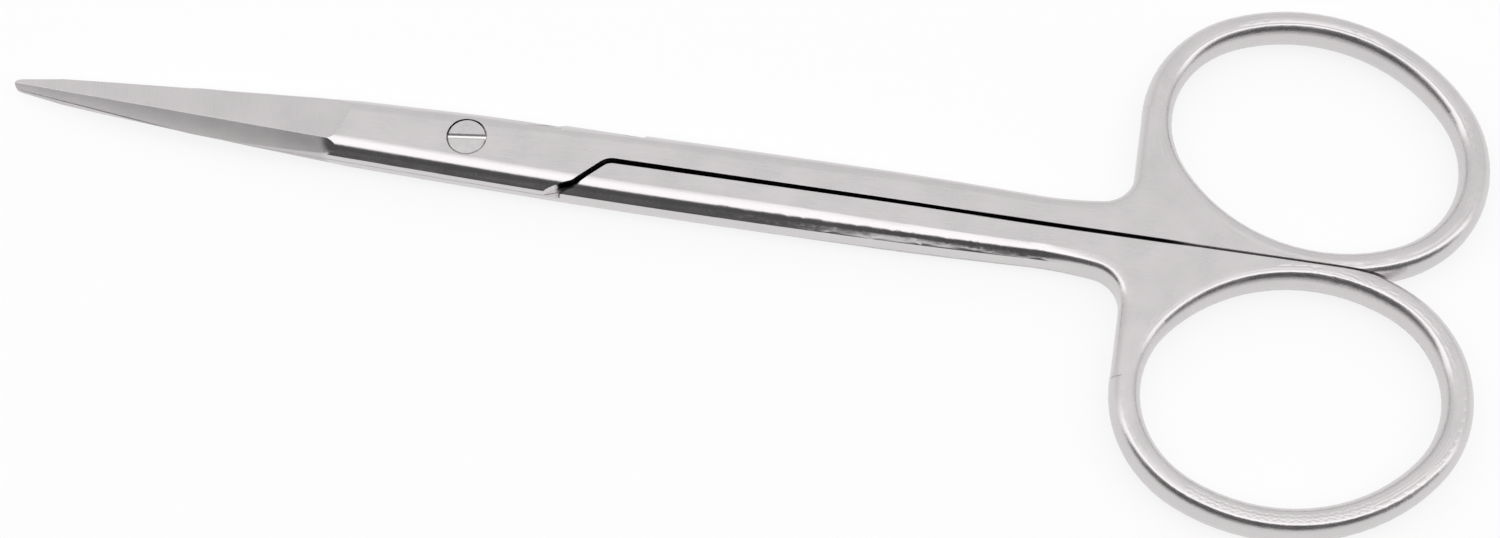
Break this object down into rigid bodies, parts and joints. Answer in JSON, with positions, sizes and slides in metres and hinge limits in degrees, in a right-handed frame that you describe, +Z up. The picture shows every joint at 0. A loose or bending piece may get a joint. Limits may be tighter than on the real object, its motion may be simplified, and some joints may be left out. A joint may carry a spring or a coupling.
{
  "type": "dressing scissors",
  "caption": "Fine straight scissors of two forged halves turning on a slotted screw, with slim ground blades, plain shanks and two oval finger rings.",
  "frame": {"origin": "where the pivot axis meets the underside of the finger half, the face the closed scissors lie on", "axes": "+X from the pivot towards the finger rings, with the tips at -X; +Y towards the thumb ring; +Z up through the pivot towards the screw's slotted head"},
  "size_m": [0.1146, 0.0443, 0.0036],
  "materials": {
    "satin_steel": "satin, finely ground",
    "screw_steel": "satin, turned"
  },
  "bodies": {
    "finger_half": {"finger_half": "satin_steel", "pivot_screw": "screw_steel"},
    "thumb_half": {"thumb_half": "satin_steel"}
  },
  "joints": [
    {"name": "blade_pivot", "type": "hinge", "parent": "finger_half", "child": "thumb_half", "pos_m": [0, 0, 0.0018], "axis": [0, 0, 1], "range_deg": [0, 90]}
  ]
}
